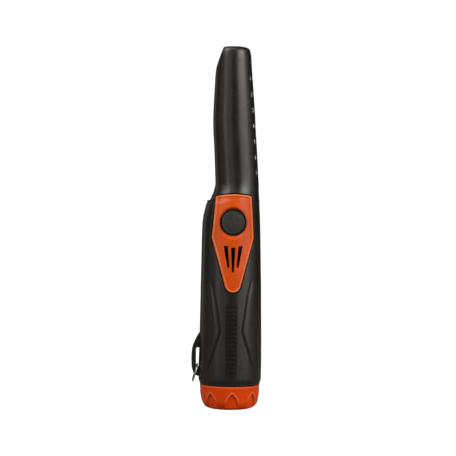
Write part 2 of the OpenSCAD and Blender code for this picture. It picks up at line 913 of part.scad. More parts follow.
front_shell();
rear_shell();
shell_seal();
casing_screws();
control_panel();
power_button();
button_seal();
seal_retainer();
switch_body();
switch_plunger();
circuit_board();
controller_chip();
board_parts();
board_screws();
sounder();
sounder_mesh();
length_scale();
lamp_bezel();
lamp_lens();
lamp_led();
lamp_leads();
motor_can();
motor_boot();
motor_shaft();
eccentric_weight();
ferrite_core();
coil_former();
search_coil();
coil_shield();
core_mount_tip();
core_mount_rear();
coil_lead();
battery_tube();
contact_plate();
contact_snaps();
battery_lead_red();
battery_lead_black();
cap_oring();
battery_cap();
pressure_plate();
pressure_pad();
pivot_screw();
battery_case();
battery_lid();
battery_cells();
battery_studs();
lanyard_loop();
split_ring();
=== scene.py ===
import math
import bpy
import numpy as np
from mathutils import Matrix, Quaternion, Vector, geometry


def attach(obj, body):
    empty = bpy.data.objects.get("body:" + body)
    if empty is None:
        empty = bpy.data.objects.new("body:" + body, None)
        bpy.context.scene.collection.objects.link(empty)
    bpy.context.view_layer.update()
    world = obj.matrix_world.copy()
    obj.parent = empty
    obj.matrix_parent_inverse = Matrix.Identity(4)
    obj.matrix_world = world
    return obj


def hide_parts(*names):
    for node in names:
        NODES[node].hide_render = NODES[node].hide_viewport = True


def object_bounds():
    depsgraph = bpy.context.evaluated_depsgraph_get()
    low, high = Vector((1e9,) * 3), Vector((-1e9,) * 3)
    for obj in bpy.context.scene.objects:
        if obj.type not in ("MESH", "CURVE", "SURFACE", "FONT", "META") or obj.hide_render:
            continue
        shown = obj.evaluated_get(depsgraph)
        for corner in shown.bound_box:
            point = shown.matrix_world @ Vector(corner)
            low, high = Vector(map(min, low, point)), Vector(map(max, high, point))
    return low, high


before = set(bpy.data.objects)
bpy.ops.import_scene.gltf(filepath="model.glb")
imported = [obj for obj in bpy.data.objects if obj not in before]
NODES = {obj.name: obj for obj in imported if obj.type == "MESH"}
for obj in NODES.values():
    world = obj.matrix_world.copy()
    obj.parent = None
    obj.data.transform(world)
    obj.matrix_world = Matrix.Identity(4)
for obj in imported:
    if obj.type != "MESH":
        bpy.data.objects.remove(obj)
CAD_LO, CAD_HI = [list(v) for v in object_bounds()]
MM = 0.001


# ---------------------------------------------------------------- numbers and curves

def smooth(lo, hi, x):
    """0 below lo, 1 above hi, and a smooth S between."""
    t = np.clip((np.asarray(x, float) - lo) / (hi - lo), 0, 1)
    return t * t * (3 - 2 * t)


class Curve1D:
    """Monotone cubic through given points."""

    def __init__(self, x, y):
        self.x, self.y = np.array(x, float), np.array(y, float)
        h = np.diff(self.x)
        d = np.diff(self.y) / h
        m = np.zeros(len(self.x))
        same = d[:-1] * d[1:] > 0
        m[1:-1] = np.where(same, 2 * d[:-1] * d[1:] / np.where(same, d[:-1] + d[1:], 1), 0)
        m[0], m[-1] = d[0], d[-1]
        self.h, self.m = h, m

    def __call__(self, v):
        v = np.clip(np.asarray(v, float), self.x[0], self.x[-1])
        i = np.clip(np.searchsorted(self.x, v, side="right") - 1, 0, len(self.h) - 1)
        h, t = self.h[i], (v - self.x[i]) / self.h[i]
        return ((1 + 2 * t) * (1 - t) ** 2 * self.y[i] + t * (1 - t) ** 2 * h * self.m[i]
                + t * t * (3 - 2 * t) * self.y[i + 1] + t * t * (t - 1) * h * self.m[i + 1])


def resample(loop, step):
    """Closed polyline with points about step apart."""
    p = np.vstack([loop, loop[:1]])
    s = np.concatenate([[0], np.cumsum(np.linalg.norm(np.diff(p, axis=0), axis=1))])
    n = max(12, int(round(s[-1] / step)))
    u = np.linspace(0, s[-1], n, endpoint=False)
    return np.column_stack([np.interp(u, s, p[:, 0]), np.interp(u, s, p[:, 1])])


def sd_polygon(p, poly):
    """Signed distance from points to a closed polygon, negative inside."""
    p = np.asarray(p, float)
    out = np.empty(len(p))
    a, b = poly, np.roll(poly, -1, axis=0)
    e = b - a
    ee = np.maximum((e * e).sum(1), 1e-12)
    for k in range(0, len(p), 4000):
        q = p[k:k + 4000]
        w = q[:, None, :] - a[None]
        t = np.clip((w * e[None]).sum(2) / ee, 0, 1)
        d = np.sqrt(((w - t[..., None] * e[None]) ** 2).sum(2).min(1))
        up = (a[None, :, 1] <= q[:, 1:2]) != (b[None, :, 1] <= q[:, 1:2])
        with np.errstate(divide="ignore", invalid="ignore"):
            xc = a[None, :, 0] + (q[:, 1:2] - a[None, :, 1]) / e[None, :, 1] * e[None, :, 0]
        inside = (up & (q[:, 0:1] < xc)).sum(1) % 2 == 1
        out[k:k + 4000] = np.where(inside, -d, d)
    return out


def offset_loop(poly, d, centre, step, reach=80):
    """The polygon's outline moved out by d, for shapes that centre can see all of."""
    ang = np.radians(np.arange(0, 360, 0.5))
    ray = np.column_stack([np.cos(ang), np.sin(ang)])
    lo, hi = np.zeros(len(ang)), np.full(len(ang), float(reach))
    for _ in range(22):
        mid = (lo + hi) / 2
        inside = sd_polygon(centre + ray * mid[:, None], poly) < d
        lo, hi = np.where(inside, mid, lo), np.where(inside, hi, mid)
    return resample(centre + ray * lo[:, None], step)


def convex_hull(points):
    idx = geometry.convex_hull_2d([tuple(p) for p in points])
    return np.array([points[i] for i in idx])


def circle(x, z, r, n=64):
    """Closed loop of n points."""
    t = np.radians(np.arange(n) * 360 / n)
    return np.column_stack([x + r * np.cos(t), z + r * np.sin(t)])


def triangulate(loops, extra):
    """Delaunay mesh of the loops' edges and of extra points; returns points and triangles."""
    pts, edges = [], []
    for lp in loops:
        k = len(pts)
        pts += [tuple(p) for p in lp]
        edges += [(k + i, k + (i + 1) % len(lp)) for i in range(len(lp))]
    pts += [tuple(p) for p in extra]
    out = geometry.delaunay_2d_cdt([Vector(p) for p in pts], edges, [], 0, 1e-5, False)
    return np.array([tuple(v) for v in out[0]]), np.array([tuple(f) for f in out[2]])


# ---------------------------------------------------------------- mesh helpers

def mesh_object(name, verts, faces, body, nodes, sharp, wear_and_shade=None):
    """Piece from points in millimetres that stands for nodes. Edges over sharp degrees stay sharp.

    wear is 1 on edges worn pale and on painted highlights, and -1 where shade is painted into creases, gaps
    and recesses."""
    me = bpy.data.meshes.new(name)
    points = np.asarray(verts, float) * MM
    me.from_pydata([tuple(v) for v in points], [], [tuple(int(i) for i in f) for f in faces])
    if wear_and_shade is not None:
        me.attributes.new("wear_and_shade", "FLOAT", "POINT").data.foreach_set("value", np.asarray(wear_and_shade, np.float32))
    me.validate()
    me.shade_smooth()
    me.set_sharp_from_angle(angle=math.radians(sharp))
    ob = bpy.data.objects.new(name, me)
    bpy.context.scene.collection.objects.link(ob)
    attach(ob, body)
    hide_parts(*nodes)
    return ob


def without_repeats(face):
    """A face's points, less any that repeats the one before it."""
    return [v for k, v in enumerate(face) if v != face[k - 1]]


def closed_from_sheets(outer, inner, tris):
    """Joins an outer and an inner sheet of the same triangles into a closed solid.

    Returns its points, its faces, and which point of the sheets each point was."""
    n = len(outer)
    tris = np.asarray(tris)
    edges = {}
    for a, b, c in tris:
        for e in ((a, b), (b, c), (c, a)):
            edges[e] = True
    rim = [e for e in edges if (e[1], e[0]) not in edges]
    faces = [tuple(t) for t in tris]
    faces += [(t[2] + n, t[1] + n, t[0] + n) for t in tris]
    faces += [(b, a, a + n, b + n) for a, b in rim]
    used = np.zeros(2 * n, bool)
    for f in faces:
        used[list(f)] = True
    new = np.cumsum(used) - 1
    verts = np.vstack([outer, inner])[used]
    return verts, [tuple(new[list(f)]) for f in faces], np.flatnonzero(used) % n


def revolve(profile, n):
    """Solid of revolution about Z with n sides. profile is (r, z), from the axis round to the axis."""
    profile = np.asarray(profile, float)
    t = np.radians(np.arange(n) * 360 / n)
    verts, rows = [], []
    for r, z in profile:
        if r < 1e-6:
            rows.append([len(verts)] * n)
            verts.append((0, 0, z))
        else:
            rows.append(list(range(len(verts), len(verts) + n)))
            verts += [(r * math.cos(a), r * math.sin(a), z) for a in t]
    faces = []
    for p, q in zip(rows[:-1], rows[1:]):
        for i in range(n):
            j = (i + 1) % n
            f = without_repeats([p[i], p[j], q[j], q[i]])
            if len(f) > 2:
                faces.append(f)
    return np.array(verts), faces


def sweep(path, section, up):
    """Sweeps a 2-D section along a path, with flat ends. up is the section's first axis at each point."""
    n, m = len(path), len(section)
    tan = np.gradient(path, axis=0)
    tan /= np.linalg.norm(tan, axis=1)[:, None]
    u = up - (up * tan).sum(1)[:, None] * tan
    u /= np.linalg.norm(u, axis=1)[:, None]
    v = np.cross(tan, u)
    verts = path[:, None] + section[None, :, 0:1] * u[:, None] + section[None, :, 1:2] * v[:, None]
    faces = []
    for i in range(n - 1):
        a, b = i * m, (i + 1) * m
        for k in range(m):
            nxt = (k + 1) % m
            faces.append((a + k, a + nxt, b + nxt, b + k))
    faces.append(tuple(range(m))[::-1])
    faces.append(tuple((n - 1) * m + k for k in range(m)))
    return verts.reshape(-1, 3), faces


# ---------------------------------------------------------------- casing surface

# Stations up the casing: height, X of the middle, half-width and half-depth
STATIONS = np.array([
    (17.0, 0.0, 19.45, 19.2), (19.0, 0.0, 19.85, 19.6), (43.0, 0.2, 19.65, 19.2),
    (68.0, 0.2, 19.25, 18.7), (93.0, 0.1, 18.85, 18.2), (116.0, 0.0, 18.35, 17.7),      # handle
    (121.0, 0.2, 17.95, 17.5), (126.2, 0.6, 17.25, 17.1), (128.7, 0.9, 16.85, 16.8),
    (130.2, 1.3, 16.45, 16.5), (131.4, 2.0, 15.65, 16.2), (133.8, 2.4, 15.05, 15.55),   # shoulder
    (136.3, 2.9, 14.40, 14.8), (138.8, 3.2, 14.05, 14.1), (141.3, 3.4, 13.75, 13.6),
    (145.0, 3.25, 13.7, 13.25), (150.0, 3.0, 13.65, 13.05), (163.0, 2.3, 13.55, 12.9),  # neck
    (180.0, 1.3, 13.45, 12.6), (200.0, 0.9, 12.45, 11.9), (216.0, 0.6, 11.45, 11.0),
    (222.0, 0.6, 11.05, 10.6), (225.0, 0.6, 10.55, 10.2), (226.8, 0.6, 9.85, 9.5),      # nose
    (227.6, 0.6, 8.85, 8.5), (228.0, 0.6, 7.45, 7.1)])
MIDDLE_X, HALF_WIDTH, HALF_DEPTH = (Curve1D(STATIONS[:, 0], STATIONS[:, k]) for k in (1, 2, 3))
FOOT, TIP = 17.0, 228.0
END = 7.2               # how far v runs past TIP, over the flat end to its middle
# The flat on the tip's left side: a point on it in X and Z, its lean, and the heights it comes in between
BEVEL_X, BEVEL_Z, BEVEL_LEAN, BEVEL_FROM, BEVEL_FULL = -10.6, 216.0, math.radians(20), 195, 206
FLAT_R = 18.0           # radius that turns angle into the sheet's flat width
WIDEST = CAD_HI[0] / MM
WALL = 2.2


def xyz(theta, v, h=0.0):
    """Casing point at angle theta (0 is the front, + towards +X), height v, and h outwards."""
    theta, v = np.asarray(theta, float), np.asarray(v, float)
    top = np.clip((TIP + END - v) / END, 0, 1)
    z = np.minimum(v, TIP)
    a, b = HALF_WIDTH(z) * top, HALF_DEPTH(z) * top
    out = np.where(v > TIP, 0, h)
    x = MIDDLE_X(z) + (a + out) * np.sin(theta)
    y = -(b + out) * np.cos(theta)
    z = z + np.minimum(h, 0) * smooth(TIP - 6, TIP, v)
    c, s = math.cos(BEVEL_LEAN), math.sin(BEVEL_LEAN)
    q = (x - BEVEL_X) * c - (z - BEVEL_Z) * s + np.minimum(h, 0)
    push = (0.5 * (q + np.sqrt(q * q + 0.8)) - q) * smooth(BEVEL_FROM, BEVEL_FULL, z)
    return np.column_stack([np.minimum(x + push * c, WIDEST), y, z - push * s])


def angle_of(x, z):
    """Angle round the casing of the front point at X and Z."""
    return np.arcsin(np.clip((x - MIDDLE_X(z)) / HALF_WIDTH(z), -1, 1))


def x_of(theta, v):
    """X of the casing at an angle and a height."""
    return MIDDLE_X(v) + HALF_WIDTH(v) * np.sin(theta)


def flat(loop):
    """An X-Z loop in the sheet's flat coordinates."""
    return np.column_stack([angle_of(loop[:, 0], loop[:, 1]) * FLAT_R, loop[:, 1]])


# Front panel's outline and holes, in X and Z
PX = 0.2            # X of the panel's middle line
BUTTON_Z, SOUNDER_Z = 117.0, 95.0


def panel_polygon():
    """The panel's outline: widest at the shoulder, a round tip below, and a shallow arc along the top."""
    pts = [circle(PX + s * 10.0 + 0.5, 132.8, 1.2, 48) for s in (-1, 1)]
    pts += [circle(PX + s * 10.1, 107.8, 3, 72) for s in (-1, 1)]
    pts += [circle(PX, 78.4, 4.9, 72), circle(PX + 0.5, 134.5, 0.2, 12)]
    hull = resample(convex_hull(np.vstack(pts)), 0.25)
    arc = (PX + 0.5, 84.7)      # centre of the shallow arc along the top
    d = hull - arc
    r = np.linalg.norm(d, axis=1)
    return arc + d * (np.minimum(r, 50) / r)[:, None]


PANEL = panel_polygon()
PANEL_MID = np.array([PX, 108.0])


def slot_outline(x0, x1, z0, z1, w0, w1=1.3):
    """Slot from a square top of width w0 at x0 and z0 down to a round end of width w1 at x1 and z1."""
    corner = 0.4
    top = [circle(PX + x0 + s * (w0 / 2 - corner), z0 - corner, corner, 24) for s in (-1, 1)]
    end = circle(PX + x1, z1 + w1 / 2 - 0.05, w1 / 2, 24)
    return resample(convex_hull(np.vstack(top + [end])), 0.22)


SLOTS = [slot_outline(-4.6, -2.9, 102.4, 89.0, 2.5), slot_outline(0, 0, 101.3, 86.0, 2.6),
         slot_outline(4.6, 2.9, 102.4, 89.0, 2.5)]


def grid_points(us, vs):
    """Grid with every other row shifted by half a step."""
    u, v = np.meshgrid(us, vs)
    u = u + ((np.arange(len(vs)) % 2)[:, None]) * np.gradient(us)[None] * 0.5
    return np.column_stack([u.ravel(), v.ravel()])


MIDLINE = -0.6      # X of the handle's relief
# Half-width of the hourglass at each height
HOURGLASS = Curve1D([14, 27, 36, 44, 48, 49.5, 51, 60, 69, 76, 88],
                    [18.2, 13.9, 11.0, 8.2, 6.9, 6.7, 6.9, 8.4, 9.9, 11.6, 15.0])
RIB_HALF, RIB_PITCH, RIB_LOW, RIB_HIGH = 3.4, 2.7, 21.0, 66.5


def crease(x, z):
    """Distance outwards from the nearer hourglass crease, and how much crease there is at this height."""
    return np.abs(x - MIDLINE) - HOURGLASS(z), smooth(21, 32, z) * (1 - smooth(72, 86, z))


def ribs(x, z):
    """Debossed ribs down the middle of the handle, 0 to 1."""
    wave = smooth(0.2, 0.6, 0.5 + 0.5 * np.cos((z - 26.2) * 2 * math.pi / RIB_PITCH))
    length = smooth(RIB_LOW, RIB_LOW + 1.5, z) * (1 - smooth(RIB_HIGH - 1.5, RIB_HIGH, z))
    return wave * smooth(0, 0.6, RIB_HALF - np.abs(x - MIDLINE)) * length


def relief(x, z):
    """Height of the hourglass creases, of the slightly raised grips outside them, and of the ribs."""
    d, fade = crease(x, z)
    grip = 0.3 * fade * smooth(0.1, 2.2, d) * (1 - smooth(2.5, 10, d))
    return grip - 0.34 * fade * np.exp(-(d / 0.45) ** 2) - 0.24 * ribs(x, z)


LAMP_X, LAMP_Z, LAMP_LEAN = -13.5, 131.3, math.radians(8)   # middle of the bezel's face, and the beam's lean
LAMP_R = 2.2


def lamp_notch(p):
    """Clears the space above the lamp's bezel."""
    up = p[:, 2] - LAMP_Z
    reach = np.sqrt(np.maximum(LAMP_R ** 2 - p[:, 1] ** 2, 0))
    back = LAMP_X - up * math.tan(LAMP_LEAN) + reach
    fade = smooth(-0.25, 0.05, up) * (1 - smooth(2.2, 5.0, up)) * (reach > 0) * (p[:, 0] < 0)
    p[:, 0] += np.maximum(back - p[:, 0], 0) * fade
    return p


def seam(theta):
    """Height of the groove where the half shells meet."""
    edge = (math.pi / 2 - np.abs(theta)) * FLAT_R
    return -0.28 * np.exp(-(edge / 0.22) ** 2)


def sheet_axes(fine):
    """Columns and rows of a half shell's sheet, closer together where the surface turns or carries relief."""
    us = np.concatenate([[-90, -89.5, -88.7], np.arange(-87, 87.1, 1.3 if fine else 2.0), [88.7, 89.5, 90]])
    step = 0.45 if fine else 0.9
    foot, end = [FOOT, 17.5, 18.2, 19], [227.5, 227.7, 227.85, TIP, 228.6, 229.6, 231, 233, TIP + END]
    handle = [np.arange(19.8, 88, step), np.arange(88.3, 128, 0.9)]
    shoulder = [np.arange(128.2, 137.1, 0.3), np.arange(137.5, 139.6, step)]
    nose = [np.arange(140, 214.1, 1.0), np.arange(214.6, 227.3, 0.5)]
    return np.radians(us) * FLAT_R, np.concatenate([foot] + handle + shoulder + nose + [end])


def border_points(us, vs):
    """Straight rows along the sheet's four sides, so the two half shells meet exactly."""
    sides = [np.column_stack([np.full(len(vs), s * math.pi / 2 * FLAT_R), vs]) for s in (-1, 1)]
    return np.vstack(sides + [np.column_stack([us, np.full(len(us), v)]) for v in (vs[0], vs[-1])])


def shell_sheet(fine, loops):
    """Triangles of a half shell's flat sheet, with given loops as edges."""
    us, vs = sheet_axes(fine)
    g = grid_points(us, vs)
    lim = math.pi / 2 * FLAT_R
    g = g[(np.abs(g[:, 0]) < lim - 0.1) & (g[:, 1] > vs[0] + 0.1) & (g[:, 1] < vs[-1] - 0.1)]
    for lp in loops:
        box = (g[:, 0] > lp[:, 0].min() - 1) & (g[:, 0] < lp[:, 0].max() + 1)
        box &= (g[:, 1] > lp[:, 1].min() - 1) & (g[:, 1] < lp[:, 1].max() + 1)
        near = np.zeros(len(g), bool)
        near[box] = np.abs(sd_polygon(g[box], lp)) < 0.16
        g = g[~near]
    return triangulate(loops, np.vstack([border_points(us, vs), g]))


def orient(verts, tris, outward):
    """Turns triangles so that their normals agree with outward directions."""
    a, b, c = verts[tris[:, 0]], verts[tris[:, 1]], verts[tris[:, 2]]
    n = np.cross(b - a, c - a)
    flip = (n * outward[tris[:, 0]]).sum(1) < 0
    tris = tris.copy()
    tris[flip] = tris[flip][:, ::-1]
    return tris[np.linalg.norm(n, axis=1) > 1e-7]


def merge(verts, faces, tol=1e-4):
    """Joins points that coincide, and keeps one of any faces that then have the same points.

    Returns the points, the faces, and which points were kept."""
    key = np.round(np.asarray(verts) / tol).astype(np.int64)
    _, first, inv = np.unique(key, axis=0, return_index=True, return_inverse=True)
    inv = inv.ravel()
    kept = {}
    for face in faces:
        f = without_repeats([int(inv[i]) for i in face])
        if len(set(f)) > 2:
            kept.setdefault(frozenset(f), f)
    return np.asarray(verts)[first], list(kept.values()), first


def inside_of(theta, v, outer):
    """Inner sheet of a half shell, kept clear of the lamp's notch in the outer one."""
    inner = xyz(theta, v, -WALL)
    inner[:, 0] = np.maximum(inner[:, 0], np.where(outer[:, 0] < 0, outer[:, 0] + 0.6, -99))
    return inner


def front_wear(x, z, from_panel):
    """Marks on the front shell: worn pale beside the creases, painted shade in the creases and the rib
    grooves, darker down the ribbed strip, and painted shadow in the gap round the panel.
    """
    d, fade = crease(x, z)
    # A pale worn band beside each crease, and painted shade down the crease itself.
    wear_and_shade = 0.12 * fade * np.exp(-((d - 1.8) / 0.8) ** 2) - 0.5 * fade * np.exp(-(d / 0.6) ** 2)
    across = smooth(0, 0.8, RIB_HALF + 0.6 - np.abs(x - MIDLINE))
    along = smooth(RIB_LOW - 1, RIB_LOW + 1, z) * (1 - smooth(RIB_HIGH - 1, RIB_HIGH + 1.5, z))
    # Darker down the ribbed strip, with painted shade in the sunk rib grooves.
    wear_and_shade -= (0.24 + 0.2 * ribs(x, z)) * across * along
    # Painted shadow in the gap round the panel.
    return np.where(from_panel < 0.6, -1, wear_and_shade)


def front_shell():
    """Front half: relief on the handle, a stepped pocket for the panel, and holes for button and sounder."""
    lip, step, floor = 0.95, 0.45, 0.32     # how far outside the panel the pocket's lip, step and floor start
    holes = [circle(PX, BUTTON_Z, 9.1, 120), circle(PX, SOUNDER_Z, 6.6, 96)]
    rings = [offset_loop(PANEL, lip, PANEL_MID, 0.7)]
    rings += [offset_loop(PANEL, d, PANEL_MID, 0.45) for d in (0.5, 0.36, 0.28)]
    p, t = shell_sheet(True, [flat(lp) for lp in rings + holes])
    theta, v = p[:, 0] / FLAT_R, p[:, 1]
    x = x_of(theta, v)
    near = (np.abs(x) < 15) & (v > 68) & (v < 140)
    sd = np.full(len(p), 9.0)
    sd[near] = sd_polygon(np.column_stack([x[near], v[near]]), PANEL)
    rise = smooth(0.5, lip, sd)
    h = relief(x, v) + seam(theta)
    h = np.where(sd < lip, h * rise - 0.10 * (1 - rise), h)
    h = np.where(sd < step, -0.32, h)
    h = np.where(sd < floor, -1.5, h)
    outer = lamp_notch(xyz(theta, v, h))
    tri_mid = np.column_stack([x[t].mean(1), v[t].mean(1)])
    gone = np.zeros(len(t), bool)
    for hole in holes:
        gone |= sd_polygon(tri_mid, hole) < 0
    out_dir = np.column_stack([np.sin(theta), -np.cos(theta), np.where(v > TIP - 1, 1.0, 0.0)])
    t = orient(outer, t[~gone], out_dir)
    verts, faces, source = closed_from_sheets(outer, inside_of(theta, v, outer), t)
    verts, faces, kept = merge(verts, faces)
    return mesh_object("casing_front", verts, faces, "housing", ["front_shell"], 30,
                       front_wear(x, v, sd)[source][kept])


# X and Z of each casing screw, and the Y that its head sits at
SCREWS = [(-13.6, 66, 7), (14.0, 66, 7), (-13.1, 104, 7), (13.4, 104, 7), (-5.4, 150, 6), (11.4, 150, 6)]
WELL_R = 2.46


def rear_shell():
    """Back half, with a well for each screw in a pillar inside."""
    loops = [flat(circle(sx, sz, r, 48)) for sx, sz, _ in SCREWS for r in (2.42, 2.5, 2.85, 3.5)]
    p, t = shell_sheet(False, loops)
    theta, v = p[:, 0] / FLAT_R, p[:, 1]
    x = x_of(theta, v)
    outer = lamp_notch(xyz(theta, v, seam(theta)))
    inner = inside_of(theta, v, outer)
    outer[:, 1] *= -1
    inner[:, 1] *= -1
    for sx, sz, seat in SCREWS:
        r = np.hypot(x - sx, v - sz)
        inner[(r < 3.45) & (v < TIP), 1] = seat - 1.6
        outer[r < WELL_R, 1] = seat
        outer[(r >= WELL_R) & (r < 2.7), 1] -= 0.25
    out_dir = np.column_stack([np.sin(theta), np.cos(theta), np.where(v > TIP - 1, 1.0, 0.0)])
    t = orient(outer, t, out_dir)
    verts, faces, _ = closed_from_sheets(outer, inner, t)
    verts, faces, _ = merge(verts, faces)
    return mesh_object("casing_rear", verts, faces, "housing", ["rear_shell"], 30)


HOLE_R = 8.2            # round the button
FUNNEL_Y, FUNNEL_SLOPE = -15.95, 0.85
# The rim's section: distance in from the edge, and height over the casing
RIM = ([0, 0.12, 0.32, 0.55, 0.85, 1.05, 1.3, 1.5, 2.4], [0, 0.18, 0.34, 0.4, 0.4, 0.32, 0.02, -0.06, -0.06])


def deeper(y, cut, k=0.25):
    """The further back of two surfaces, with the edge between them rounded over about k."""
    soft = 0.5 * (y + cut + np.sqrt((y - cut) ** 2 + k * k)) - 0.5 * k * np.exp(-((y - cut) / k) ** 2)
    return np.maximum(soft, np.maximum(y, cut) - 0.02)


def panel_wear(inset, r, z):
    """Marks on the panel: a pale rim, partly worn edge and partly painted highlight, painted shade at the
    step inside the rim, and painted shade in the funnel that reaches further above the button.
    """
    # The rounded rim is painted pale as a highlight as well as worn; the dip to -0.3 at the inner step is
    # painted shade.
    wear_and_shade = np.interp(inset, [0, 0.3, 1.0, 1.2, 1.35, 1.8], [0.3, 0.85, 0.85, 0.0, -0.3, 0])
    reach = 1.3 * np.maximum(z - BUTTON_Z, 0) / HOLE_R
    # Painted shade in the funnel round the button, reaching further above it.
    shade = 0.7 * (1 - smooth(HOLE_R + 0.3, HOLE_R + 0.8 + reach, r))
    return np.where(r < HOLE_R + 2.5, wear_and_shade * (1 - shade) - shade, wear_and_shade)


def panel():
    """Orange front panel: rounded rim, sunk field, a funnel round the button and three slots."""
    loops = [offset_loop(PANEL, -d, PANEL_MID, 0.42) for d in RIM[0][:-1]]
    loops += [circle(PX, BUTTON_Z, r, 120) for r in (HOLE_R, HOLE_R + 0.12, HOLE_R + 0.5)]
    for s in SLOTS:
        loops += [s] + [offset_loop(s, d, s.mean(0), 0.28, 20) for d in (0.14, 0.32)]
    g = grid_points(np.arange(-14, 14.3, 0.5), np.arange(73, 136, 0.45))
    g = g[sd_polygon(g, PANEL) < -1.65]
    for lp in loops:
        g = g[np.abs(sd_polygon(g, lp)) > 0.17]
    p, t = triangulate(loops, g)
    x, z = p[:, 0], p[:, 1]
    theta = angle_of(x, z)
    sd = sd_polygon(p, PANEL)
    outer = xyz(theta, z, np.interp(-sd, *RIM))
    outer[:, 0] = x
    r = np.hypot(x - PX, z - BUTTON_Z)
    funnel = FUNNEL_Y - np.maximum(r - HOLE_R - 0.12, 0) * FUNNEL_SLOPE
    funnel += 0.25 * (1 - smooth(HOLE_R, HOLE_R + 0.12, r))
    y = np.where(r < 12.5, deeper(outer[:, 1], funnel), outer[:, 1])
    for s in SLOTS:
        ds = sd_polygon(p, s)
        y = y + 0.3 * (1 - smooth(0.0, 0.32, np.abs(ds))) * (ds < 0.33)
    outer[:, 1] = y
    inner = xyz(theta, z, -1.28)
    inner[:, 0] = x
    inner[:, 1] = np.maximum(inner[:, 1], outer[:, 1] + 0.25)
    mid = p[t].mean(1)
    gone = (sd_polygon(mid, PANEL) > 0) | (np.hypot(mid[:, 0] - PX, mid[:, 1] - BUTTON_Z) < HOLE_R - 0.01)
    for s in SLOTS:
        gone |= sd_polygon(mid, s) < 0
    t = orient(outer, t[~gone], np.tile([0.0, -1.0, 0.0], (len(p), 1)))
    verts, faces, source = closed_from_sheets(outer, inner, t)
    return mesh_object("front_panel", verts, faces, "housing", ["control_panel"], 30,
                       panel_wear(-sd, r, z)[source])


BUTTON_R, BUTTON_EDGE = 7.3, 0.6        # radius of the face, and of its rounded edge
FACE_Y = -16.2
MARK_R, MARK_GAP = 2.5, 34              # power mark's arc, and half the gap in it in degrees


def button_face(x, z):
    """Depth of the button's face: a low crown with a round edge, a ring groove and a sunk power mark."""
    r = np.hypot(x, z)
    y = FACE_Y - 0.42 * (1 - (r / BUTTON_R) ** 2)
    arc = (1 - smooth(0.14, 0.32, np.abs(r - MARK_R))) * (np.abs(np.degrees(np.arctan2(x, z))) > MARK_GAP)
    bar = (1 - smooth(0.14, 0.32, np.abs(x))) * (z > 0.9) * (z < 3.2)
    y = y + 0.2 * np.maximum(arc, bar) + 0.14 * np.exp(-((r - BUTTON_R + 1.3) / 0.22) ** 2)
    edge = np.clip((r - BUTTON_R + BUTTON_EDGE) / BUTTON_EDGE, 0, 1)
    return y + 0.55 * (1 - np.sqrt(1 - edge ** 2))


def button():
    """Rubber button: the face, its side, a flange behind the panel and the stem."""
    n = 200
    rs = np.concatenate([[0], np.arange(0.11, BUTTON_R - BUTTON_EDGE, 0.11),
                         BUTTON_R - BUTTON_EDGE + BUTTON_EDGE * np.sin(np.radians(np.arange(0, 91, 15)))])
    a = np.radians(np.arange(n) * 360 / n)
    x, z = np.outer(rs[1:], np.cos(a)).ravel(), np.outer(rs[1:], np.sin(a)).ravel()
    verts = [(0, float(button_face(0.0, 0.0)), 0)] + list(zip(x, button_face(x, z), z))
    tail = ((BUTTON_R, -13.65), (8.75, -13.6), (8.8, -13.5), (8.8, -12.45), (3.0, -12.4), (3.0, -10.7))
    for r, y in tail:
        verts += [(r * math.cos(k), y, r * math.sin(k)) for k in a]
    faces = [(0, 1 + i, 1 + (i + 1) % n) for i in range(n)]
    rows = len(rs) - 1 + len(tail)
    for k in range(rows - 1):
        for i in range(n):
            j = (i + 1) % n
            p, q = 1 + k * n, 1 + (k + 1) * n
            faces.append((p + i, q + i, q + j, p + j))
    faces.append(tuple(1 + (rows - 1) * n + i for i in range(n))[::-1])
    verts = np.array(verts) + (PX, 0, BUTTON_Z)
    return mesh_object("push_button", verts, faces, "button", ["power_button"], 40)


FLUTES, FLUTE_AT = 8, -88.5      # finger recesses, and the angle of one of them
FLUTE_STEP = 360 / FLUTES
# Right half of the pointed arch, across and up
ARCH_SIDE = [(4.1, -3), (3.9, 3.4), (3.3, 6.4), (2.1, 8.6)]
ARCH = np.array([(-4.1, -3)] + ARCH_SIDE + [(0, 10.7)] + [(-x, z) for x, z in ARCH_SIDE[:0:-1]])


